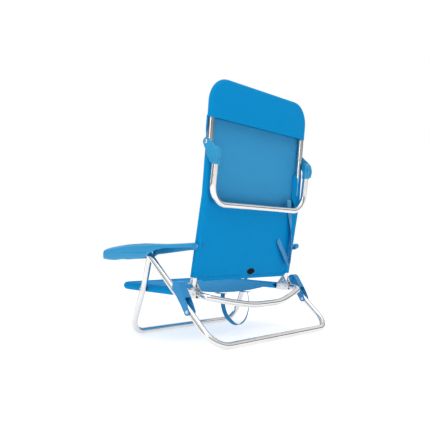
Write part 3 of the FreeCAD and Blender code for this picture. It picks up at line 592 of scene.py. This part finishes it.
foam_rows = []
for j in range(15):
    z = 692.0 + 92.0 * j / 14
    half_x = 229.0 - 34.0 * (1 - math.sqrt(max(0.0, 1 - smooth(750, 786, z) ** 2)))
    line = []
    for i in range(40):
        a = 2 * math.pi * i / 40
        c, s = math.cos(a), math.sin(a)
        ex = half_x * (abs(c) ** 0.12) * (1 if c >= 0 else -1)
        swell = 9.0 * (abs(s) ** 0.45) * (1 if s >= 0 else -1)
        dent = 0.5 * noise.noise(Vector((ex * 0.02, z * 0.03, s)))
        end = 0.55 if j in (0, 14) else (0.88 if j in (1, 13) else 1.0)
        line.append(on_back(ex, z, (swell + dent) * end))
    foam_rows.append(line)
foam = grid("headrest_foam_pad", foam_rows, M_FOAM, closed=True)
fbm = bmesh.new()
fbm.from_mesh(foam.data)
bmesh.ops.holes_fill(fbm, edges=[e for e in fbm.edges if e.is_boundary], sides=0)
bmesh.ops.recalc_face_normals(fbm, faces=fbm.faces)
fbm.to_mesh(foam.data)
fbm.free()
round_shading(foam, 60)
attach(foam, "back")
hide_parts("headrest_foam")


# ---------------------------------------------------------------------------
# Back sling, side sleeves and rear pocket
# ---------------------------------------------------------------------------
def back_levels(z0, z1, step=12.0):
    n = max(2, round((z1 - z0) / step))
    return [z0 + (z1 - z0) * j / n for j in range(n + 1)]


def sling_off(x, z):
    """Front face of the sling: taut at the tubes, a little slack in the middle."""
    along = math.sin(math.pi * (z - HEM_Z) / (HOOD_Z - HEM_Z))
    slack = 1.6 * math.cos(0.5 * math.pi * min(1.0, abs(x) / TUBE_X)) * along
    ripple = 0.45 * noise.noise(Vector((x * 0.02, z * 0.006, 1.7)))
    return -SLEEVE_R + 0.3 + slack + ripple


sling_rows = []
WRAP_R = SLEEVE_R - 0.5
for z in back_levels(HEM_Z, HOOD_Z + 2.0, 10.0):
    line = []
    reach = 10.0 + 64.0 * smooth(SLEEVE_TOP_Z - 50, SLEEVE_TOP_Z + 10, z)
    for k in range(6):
        a = math.radians(90 + reach - reach * k / 6)
        line.append(on_back(-TUBE_X + WRAP_R * math.cos(a), z, -WRAP_R * math.sin(a)))
    for i in range(33):
        x = -TUBE_X + 2 * TUBE_X * i / 32
        line.append(on_back(x, z, sling_off(x, z)))
    for k in range(5, -1, -1):
        a = math.radians(90 - reach + reach * k / 6)
        line.append(on_back(TUBE_X + WRAP_R * math.cos(a), z, -WRAP_R * math.sin(a)))
    sling_rows.append(line)
sling = grid("back_sling_mesh", sling_rows, M_MESH)
thicken(sling, 0.9, 0.0, 1)
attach(sling, "back")
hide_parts("back_sling")


def sleeve_section(z, sx):
    """Points from the front seam round the tube's outside to the rear seam."""
    low = 1.0 - smooth(POCKET_Z - 4.0, POCKET_Z + 44.0, z)
    open_up = smooth(SLEEVE_TOP_Z - 16.0, SLEEVE_TOP_Z + 22.0, z)
    above = smooth(SLEEVE_TOP_Z + 66.0, HOOD_Z - 30.0, z)
    slack = 2.4 * above
    seam_x = TUBE_X - 17.0 - 5.0 * (1 - low)
    pts = [(seam_x, -SLEEVE_R - 0.5), (seam_x + 6, -SLEEVE_R - 0.7)]
    for k in range(17):
        a = math.radians(-92 + (196 - 152 * open_up + 40 * above) * k / 16)
        bulge = 0.55 * noise.noise(Vector((a * 0.9, z * 0.018, sx * 3.0)))
        r = SLEEVE_R + 0.35 + bulge + slack
        pts.append((TUBE_X + r * math.cos(a), r * math.sin(a)))
    droop = 0.7 * noise.noise(Vector((z * 0.02, 5.0, sx * 2.0)))
    last = pts[-1]
    wrapped = (seam_x + 1.0, 11.0 * low - 8.6 * (1 - low))
    hem = (last[0] - 0.7, last[1] + 0.25)
    end = tuple(w + (h - w) * smooth(0.0, 0.55, open_up) for w, h in zip(wrapped, hem))
    for k in range(1, 6):
        t = k / 5
        sag = -1.5 * math.sin(math.pi * t) * (0.4 + droop) * (1 - open_up)
        pts.append((last[0] + (end[0] - last[0]) * t, last[1] + (end[1] - last[1]) * t + sag))
    return [on_back(sx * x, z, off) for x, off in pts]


seam_lines = []
for side, sx in (("left", 1), ("right", -1)):
    rows = [sleeve_section(z, sx) for z in back_levels(HEM_Z - 0.5, HOOD_Z + 6.0, 8.0)]
    lifts = [(line[-2] - line[-4]).cross(Vector((0, 0, 1))).normalized() * 0.0002 * sx for line in rows]
    seam_lines.append([line[-2] + lift for line, lift in zip(rows, lifts)])
    seam_lines.append([line[1] + Vector((0, -0.0008, 0)) for line in rows])
    sleeve = merge(grid("back_sleeve_%s_cloth" % side, rows, M_PLAIN), 0.00001)
    thicken(sleeve, 0.9, 0.0, 1)
    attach(sleeve, "back")
    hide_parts("back_sleeve_" + side)

pocket_rows = []
for z in back_levels(HEM_Z - 0.3, POCKET_Z, 7.0):
    line = []
    for i in range(45):
        x = -227.0 + 454.0 * i / 44
        mid = math.cos(0.5 * math.pi * x / 227.0)
        t = (z - HEM_Z) / (POCKET_Z - HEM_Z)
        off = 10.4 - 3.2 * mid ** 0.5 * smooth(36.0, 0.0, z - HEM_Z)
        off += 0.9 * noise.noise(Vector((x * 0.028, z * 0.007, 6.0))) * mid ** 0.3
        off += 0.5 * noise.noise(Vector((x * 0.006, z * 0.03, 1.0)))
        off += 0.9 * mid * smooth(0.86, 1.0, t)
        line.append(on_back(x, z, off))
    pocket_rows.append(line)
pocket = grid("back_rear_pocket_cloth", pocket_rows, M_PLAIN)
thicken(pocket, 0.9, 0.0, 1)
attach(pocket, "back")
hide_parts("back_rear_pocket")


def rear_hem(name, z0, z1, x0, x1, off, body="back"):
    """A doubled hem tape that stands a little proud of its cloth."""
    rows = []
    for j, z in enumerate((z0, z0 + (z1 - z0) * 0.12, (z0 + z1) / 2, z1 - (z1 - z0) * 0.12, z1)):
        lift = 0.0 if j in (0, 4) else 0.45
        xs = [x0 + (x1 - x0) * i / 60 for i in range(61)]
        rows.append([on_back(x, z, off(x, z) + (lift if off(x, z) > 0 else -lift)) for x in xs])
    obj = thicken(grid(name, rows, M_PLAIN), 0.8)
    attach(obj, body)
    return obj


def pocket_off(x, z):
    mid = math.cos(0.5 * math.pi * min(1.0, abs(x) / 227.0))
    t = (z - HEM_Z) / (POCKET_Z - HEM_Z)
    off = 10.4 - 3.2 * mid ** 0.5 * smooth(36.0, 0.0, z - HEM_Z)
    return off + 0.9 * mid * smooth(0.86, 1.0, t) + 0.8


hem_top = rear_hem("pocket_top_hem", POCKET_Z - 13.0, POCKET_Z + 0.6, -226, 226, pocket_off)
hem_low = rear_hem("pocket_bottom_hem", HEM_Z - 0.4, HEM_Z + 11.0, -227, 227, pocket_off)
hem_sling = rear_hem("sling_bottom_hem", HEM_Z - 0.4, HEM_Z + 12.0, -236, 236, lambda x, z: sling_off(x, z) - 0.9)

xs_seam = [-222 + 444 * i / 80 for i in range(81)]
hem_runs = [[on_back(x, z, pocket_off(x, z) + 0.9) for x in xs_seam] for z in (POCKET_Z - 10.5, HEM_Z + 8.6)]
hem_runs.append([on_back(x, HEM_Z + 9.5, sling_off(x, HEM_Z + 9.5) - 1.8) for x in xs_seam])
stitches("back_seam_stitches", seam_lines + hem_runs, "back")


# ---------------------------------------------------------------------------
# Seat sling
# ---------------------------------------------------------------------------
SEAT_REACH = SEAT_REAR_Y - SEAT_FRONT_Y


def seat_place(x, y, h):
    yy = SEAT_REAR_Y - y
    return row(x, yy, rail_z(yy) + h)


def seat_top(x, y):
    inner = min(1.0, (TUBE_X - abs(x)) / TUBE_X)
    front = min(1.0, (SEAT_REACH - y) / 60.0)
    slack = 7.0 + 14.0 * smooth(150.0, 0.0, y)
    sag = slack * math.sin(0.5 * math.pi * max(0.0, inner)) ** 0.8 * math.sin(0.5 * math.pi * max(0.0, front))
    ripple = 0.5 * noise.noise(Vector((x * 0.02, y * 0.02, 8.0)))
    return SLEEVE_R - sag + ripple


def seat_piece():
    inset, r = 26.0, 40.0 - 26.0
    half, reach = TUBE_X - inset, SEAT_REACH - inset
    section = [(0.0, seat_top), (10.0, seat_top), (19.0, lambda x, y: 0.5 * seat_top(x, y) + 0.5 * SLEEVE_R)]
    for k in range(13):
        a = math.pi * k / 12
        section.append((inset + SLEEVE_R * math.sin(a), (lambda c: lambda x, y: c)(SLEEVE_R * math.cos(a))))
    section.append((17.0, lambda x, y: -SLEEVE_R + 1.4))
    section.append((8.0, lambda x, y: -SLEEVE_R + 6.0))
    section.append((0.0, lambda x, y: seat_top(x, y) - 2.4))
    rings = u_rings("seat_roll", half, reach, r, seat_place, section, M_PLAIN, 26, 7, 30)
    patch = u_patch("seat_patch", half, reach, r, seat_place, seat_top, M_MESH, 26, 7, 30)
    return rings, patch


seat_roll, seat_patch = seat_piece()
seat_roll.name = "seat_sleeve_cloth"
seat_patch.name = "seat_sling_mesh"
merge(seat_roll, 0.00001)
thicken(seat_roll, 0.9, 0.0, 1)
thicken(seat_patch, 0.9, 0.0, 1)
for obj, name in ((seat_roll, "plain_fabric"), (seat_patch, "mesh_fabric")):
    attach(obj, "seat")
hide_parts("seat_sling")

rear_hem_rows = []
for j, y in enumerate((-0.5, 1.2, 6.0, 10.8, 12.0)):
    lift = 0.2 if j in (0, 4) else 0.85
    xs = [-226 + 452 * i / 50 for i in range(51)]
    rear_hem_rows.append([seat_place(x, y, seat_top(x, max(y, 0)) + lift) for x in xs])
seat_hem = thicken(grid("seat_rear_hem", rear_hem_rows, M_MESH), 0.9)
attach(seat_hem, "seat")
seat_runs = [[seat_place(x, 9.0, seat_top(x, 9.0) + 1.5) for x in xs_seam]]
for sx in (1, -1):
    ys = [2 + (SEAT_REACH - 44) * j / 80 for j in range(81)]
    seat_runs.append([seat_place(sx * (TUBE_X - 24.5), y, seat_top(TUBE_X - 24.5, y) + 0.8) for y in ys])
stitches("seat_seam_stitches", seat_runs, "seat")

# ---------------------------------------------------------------------------
# Straps and tag
# ---------------------------------------------------------------------------
LOOP = [(84, 141), (87, 122), (84, 94), (73, 70), (56, 53), (34, 38), (12, 33), (-10, 38), (-28, 50), (-42, 72), (-48, 96),
        (-47, 122), (-43, 141)]


def loop_top(x):
    """Height of the strap's ends, just under the sagging rear hem."""
    return rail_z(SEAT_REAR_Y) + seat_top(x, 0.0) - 4.2


loop_path = [row(x, 42.0 + 0.05 * (140 - z), min(z, loop_top(x))) for x, z in LOOP]


def loop_across(t, p):
    turn = 0.85 * smooth(0.30, 0.85, t)
    return Vector((math.sin(turn), math.cos(turn), 0.25 * math.sin(math.pi * t)))


loop = ribbon("seat_strap_webbing", loop_path, 17.5, loop_across, 1.3, M_LOOP)
for side, x in (("left", LOOP[0][0]), ("right", LOOP[-1][0])):
    tab_path = [seat_place(x, y, seat_top(x, y) - 3.2) for y in (14.0, 7.0, 1.0)]
    tab_path += [row(x, y, loop_top(x) + 0.9) for y in (36.0, 51.0)]
    tab = ribbon("seat_strap_tab_" + side, tab_path, 17.5, lambda t, p: Vector((1, 0, 0)), 1.3, M_LOOP)
    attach(tab, "seat")
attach(loop, "seat")
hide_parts("seat_strap_loop")

STRAP = [(-178, 462, 12.9), (-185, 436, 13.8), (-196, 404, 15.2), (-208, 362, 17.8), (-214, 320, 20.8), (-217.5, 276, 24.4),
         (-219, 250, 26.2), (-218, 237.0, 26.6)]
UP = [(-218, 237.0, 26.6), (-211, 244, 25.0), (-199, 258, 22.0), (-180, 281, 18.0), (-162, 303, 14.8), (-147, 322, 12.7)]
strap_down = [on_back(*p) for p in STRAP]
strap_up = [on_back(*p) for p in UP]


def strap_across(t, p):
    return Vector((math.cos(0.9 * smooth(0.2, 0.6, t)), math.sin(0.9 * smooth(0.2, 0.6, t)), 0.10 * t))


def strap_back_across(t, p):
    return Vector((0.73, 0.14, -0.68))


normal = (on_back(0, 300, 1.0) - on_back(0, 300)).normalized()
down = ribbon("shoulder_strap_down", strap_down, 23.0, strap_across, 1.4, M_STRAP)
up = ribbon("shoulder_strap_up", strap_up, 25.0, strap_back_across, 1.4, M_STRAP)
for obj, pts in ((down, strap_down), (up, strap_up)):
    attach(obj, "back")
    tuple(on_back(-200, 300, 12.0))
    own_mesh(obj)
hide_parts("back_shoulder_strap")

tag_rows = []
for j in range(7):
    t = j / 6
    line = []
    for i in range(25):
        a = 2 * math.pi * i / 24
        x = -20.0 + 20.6 * t * math.cos(a)
        z = 213.0 + 10.6 * t * math.sin(a) * (1 - 0.25 * abs(math.cos(a)) ** 3)
        line.append(on_back(x, z, pocket_off(x, z) + 1.0 - 0.5 * (t > 0.95)))
    tag_rows.append(line)
tag = merge(grid("plain_tag_cloth", tag_rows, M_TAG), 0.00001)
thicken(tag, 0.7)
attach(tag, "back")
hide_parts("plain_sewn_tag")
tag_ring = [tag_rows[5][i] + Vector((0, 0.0006, 0)) for i in range(25)]
stitches("tag_stitches", [tag_ring], "back", M_TAG_THREAD, 2.6, 1.9, 0.35)

# ---------------------------------------------------------------------------
# Moulded plastic: armrests, elbows and links
# ---------------------------------------------------------------------------
ARM_IN, ARM_OUT, ARM_TIP, ARM_REAR = 262.0, 319.0, -305.0, 94.3
ARM_TOP = [(-305, 272), (-300, 280.5), (-285, 287.2), (-257, 293), (-225, 297), (-178, 302), (-103, 305), (-10, 302.5),
           (50, 304), (94.6, 306)]
OUT_LOW = [(-305, 256.5), (-290, 254), (-262, 251), (-229, 250), (-198, 253), (-150, 255), (-117, 256), (-92, 259), (-74, 265),
           (-37, 284), (0, 290), (95, 292)]
IN_LOW = [(-305, 258), (-290, 256), (-262, 253), (-229, 251), (-198, 253), (-150, 255), (-117, 257), (-92, 262), (-80, 269),
          (-46, 272), (0, 276.5), (60, 282.5), (95, 284.5)]


def table(points, y):
    for (y0, z0), (y1, z1) in zip(points, points[1:]):
        if y <= y1:
            return z0 + (z1 - z0) * max(0.0, min(1.0, (y - y0) / (y1 - y0)))
    return points[-1][1]


def eased(points, y, w=5.0):
    return sum(table(points, y + k * w) for k in (-1, -0.5, 0, 0.5, 1)) / 5


def arm_section(y):
    """Profile from the outer wall's lower edge over the top to the inner wall's lower edge, as (x, z)."""
    nose = max(0.0, min(1.0, (y - ARM_TIP) / 17.7))
    w = math.sqrt(max(0.0, 1 - (1 - nose) ** 2))
    mid, half = 0.5 * (ARM_IN + ARM_OUT), 0.5 * (ARM_OUT - ARM_IN) * w
    x_in, x_out = mid - half, mid + half
    if y > -60:
        x_out = ARM_OUT + (284.0 - ARM_OUT) * smooth(-110, ARM_REAR + 40, y) * 1.0
        x_out = ARM_OUT + (ARM_IN + 22.0 - ARM_OUT) * (y + 60) / (ARM_REAR + 60)
    top = eased(ARM_TOP, y, 3.0)
    z_out, z_in = eased(OUT_LOW, y, 4.0), eased(IN_LOW, y, 4.0)
    r = min(9.0, 0.45 * (x_out - x_in), 0.8 * (top - z_out), 0.8 * (top - z_in))
    crown = 1.2 * min(1.0, (x_out - x_in) / 40.0)
    pts = []
    wall = top - r - crown
    groove = 1.1 * smooth(-196, -186, y) * smooth(-66, -76, y)
    fixed = [272.0, 274.3, 275.0, 277.0, 277.7, 280.0]
    levels = [z_out, z_out + 0.25 * (wall - z_out)]
    if z_out < 266 and wall > 284:
        levels += fixed + [wall - 2.0]
    else:
        levels += [z_out + (wall - z_out) * k / 8 for k in range(3, 9)] + [wall]
    for i, z in enumerate(levels):
        bulge = 0.9 * math.sin(math.pi * (z - z_out) / max(1.0, top - z_out))
        cut = groove if i in (4, 5) else 0.0
        pts.append((x_out - 0.9 * w + bulge * w - cut, z))
    for k in range(1, 7):
        a = 0.5 * math.pi * k / 6
        pts.append((x_out - r + r * math.cos(a), wall + r * math.sin(a)))
    for k in range(1, 8):
        t = k / 8
        x = x_out - r + (x_in - x_out + 2 * r) * t
        pts.append((x, top - crown + crown * math.sin(math.pi * t)))
    for k in range(0, 7):
        a = 0.5 * math.pi * (1 - k / 6)
        pts.append((x_in + r - r * math.cos(a), wall + r * math.sin(a)))
    pts += [(x_in, wall + (z_in - wall) * k / 4) for k in (1, 2, 3, 4)]
    return pts


def armrest(side, sx):
    ys = [ARM_TIP + 17.7 * (1 - math.cos(0.5 * math.pi * k / 8)) for k in range(9)]
    ys += [ARM_TIP + 17.7 + (ARM_REAR - ARM_TIP - 17.7) * k / 70 for k in range(1, 71)]
    rows = [[row(sx * x, y, z) for x, z in arm_section(max(y, ARM_TIP + 0.15))] for y in ys]
    shell = grid("armrest_%s_shell" % side, rows, M_ARM)
    merge(shell, 0.00001)
    centre = row(sx * 290, -100, 285)
    bm = bmesh.new()
    bm.from_mesh(shell.data)
    # close the rear end of the channel
    rim = [e for e in bm.edges if e.is_boundary and all(abs(v.co.y - row(0, ARM_REAR, 0).y) < 1e-5 for v in e.verts)]
    verts = []
    for e in rim:
        for v in e.verts:
            if v not in verts:
                verts.append(v)
    verts.sort(key=lambda v: math.atan2(v.co.z - row(0, 0, 296).z, (v.co.x - row(sx * 273, 0, 0).x) * sx))
    bm.faces.new(verts)
    bmesh.ops.recalc_face_normals(bm, faces=bm.faces)
    outward = sum(f.normal.dot(f.calc_center_median() - centre) * f.calc_area() for f in bm.faces)
    if outward < 0:
        bmesh.ops.reverse_faces(bm, faces=bm.faces)
    bm.to_mesh(shell.data)
    bm.free()
    b = shell.modifiers.new("wall", "SOLIDIFY")
    b.thickness, b.offset = 2.8 * MM, -1.0
    e = shell.modifiers.new("soft", "BEVEL")
    e.width, e.segments, e.limit_method, e.angle_limit = 0.6 * MM, 2, "ANGLE", math.radians(50)
    apply_all(shell)
    round_shading(shell, 50)
    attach(shell, "arm_" + side)
    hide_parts("armrest_" + side)


for side, sx in (("left", 1), ("right", -1)):
    armrest(side, sx)


def moulded(node, name, body, voxel, rounds, material):
    """A copy of a CAD node with its moulded edges rounded off."""
    obj = bpy.data.objects.new(name, NODES[node].data.copy())
    bpy.context.scene.collection.objects.link(obj)
    obj.data.materials.clear()
    obj.data.materials.append(material)
    w = obj.modifiers.new("weld", "WELD")
    w.merge_threshold = 0.00002
    r = obj.modifiers.new("voxel", "REMESH")
    r.mode, r.voxel_size, r.use_smooth_shade = "VOXEL", voxel * MM, True
    s = obj.modifiers.new("ease", "CORRECTIVE_SMOOTH")
    s.use_only_smooth, s.iterations, s.factor = True, rounds, 0.5
    d = obj.modifiers.new("thin", "DECIMATE")
    d.ratio = 0.5
    apply_all(obj)
    round_shading(obj, 70)
    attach(obj, body)
    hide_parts(node)
    return obj


for side in ("left", "right"):
    moulded("bail_elbow_" + side, "bail_elbow_%s_moulded" % side, "bail", 0.9, 7, M_ELBOW)
    moulded("leg_link_" + side, "leg_link_%s_moulded" % side, "link_" + side, 0.75, 4, M_LINK)

# ---------------------------------------------------------------------------
# Stage, light and camera
# ---------------------------------------------------------------------------
scene = bpy.context.scene
scene.view_settings.view_transform = "Standard"

floor_rows = [[Vector((x, y, 0.0)) for x in (-9, -3, -1, 0, 1, 3, 9)] for y in (-9, -3, -1, 0, 1, 3, 9)]
floor = grid("studio_floor", floor_rows, None)
fm = Mat("floor_white", Roughness=0.9, Specular_IOR_Level=0.1)
fm.put((0.55, 0.55, 0.55, 1), fm.bsdf.inputs["Base Color"])
fm.put((1, 1, 1, 1), fm.bsdf.inputs["Emission Color"])
fm.put(0.62, fm.bsdf.inputs["Emission Strength"])
floor.data.materials.append(fm.mat)

world = bpy.data.worlds.new("studio")
scene.world = world
world.use_nodes = True
wt = world.node_tree
for n in list(wt.nodes):
    wt.nodes.remove(n)
out = wt.nodes.new("ShaderNodeOutputWorld")
seen = wt.nodes.new("ShaderNodeBackground")
seen.inputs[0].default_value = (1, 1, 1, 1)
seen.inputs[1].default_value = 1.0
lit = wt.nodes.new("ShaderNodeBackground")
lit.inputs[1].default_value = 1.0
path = wt.nodes.new("ShaderNodeLightPath")
pick = wt.nodes.new("ShaderNodeMixShader")
geo = wt.nodes.new("ShaderNodeTexCoord")
sep = wt.nodes.new("ShaderNodeSeparateXYZ")
ramp = wt.nodes.new("ShaderNodeValToRGB")
span = wt.nodes.new("ShaderNodeMapRange")
span.inputs["From Min"].default_value = -1.0
el = ramp.color_ramp.elements
SKY = [(0.0, 0.75), (0.50, 0.55), (0.53, 0.22), (0.60, 0.14), (0.66, 0.55), (0.74, 1.05), (0.82, 0.55), (1.0, 1.25)]
while len(el) < len(SKY):
    el.new(0.5)
for e, (pos, v) in zip(el, SKY):
    e.position = pos
    e.color = (v, v, v * 1.01, 1)
wt.links.new(geo.outputs["Generated"], sep.inputs[0])
wt.links.new(sep.outputs[2], span.inputs[0])
wt.links.new(span.outputs[0], ramp.inputs[0])
wt.links.new(ramp.outputs[0], lit.inputs[0])
wt.links.new(path.outputs["Is Camera Ray"], pick.inputs[0])
wt.links.new(lit.outputs[0], pick.inputs[1])
wt.links.new(seen.outputs[0], pick.inputs[2])
wt.links.new(pick.outputs[0], out.inputs[0])


def area_light(name, place, aim, size, energy, colour=(1, 1, 1)):
    data = bpy.data.lights.new(name, "AREA")
    data.shape = "RECTANGLE"
    data.size, data.size_y = size
    data.energy = energy
    data.color = colour
    lamp = bpy.data.objects.new(name, data)
    lamp.location = place
    lamp.rotation_euler = (Vector(aim) - Vector(place)).to_track_quat("-Z", "Y").to_euler()
    scene.collection.objects.link(lamp)


area_light("key_overhead", (0.6, 0.8, 2.6), (0, 0, 0.3), (2.4, 2.0), 14)
area_light("fill_rear", (2.6, 1.2, 1.3), (0, 0, 0.4), (0.7, 1.6), 9)
area_light("rim_left", (1.2, -2.2, 1.5), (0, 0, 0.4), (0.8, 1.4), 7)

cam_data = bpy.data.cameras.new("camera")
cam_data.lens = 47.1
cam_data.sensor_width = 36.0
camera = bpy.data.objects.new("camera", cam_data)
camera.location = (1.481, 1.3135, 0.290)
CAM_AZ, CAM_EL = math.radians(47.9), math.radians(3.35)
aim = Vector((-math.sin(CAM_AZ) * math.cos(CAM_EL), -math.cos(CAM_AZ) * math.cos(CAM_EL), math.sin(CAM_EL)))
camera.rotation_euler = aim.to_track_quat("-Z", "Y").to_euler()
scene.collection.objects.link(camera)
scene.camera = camera
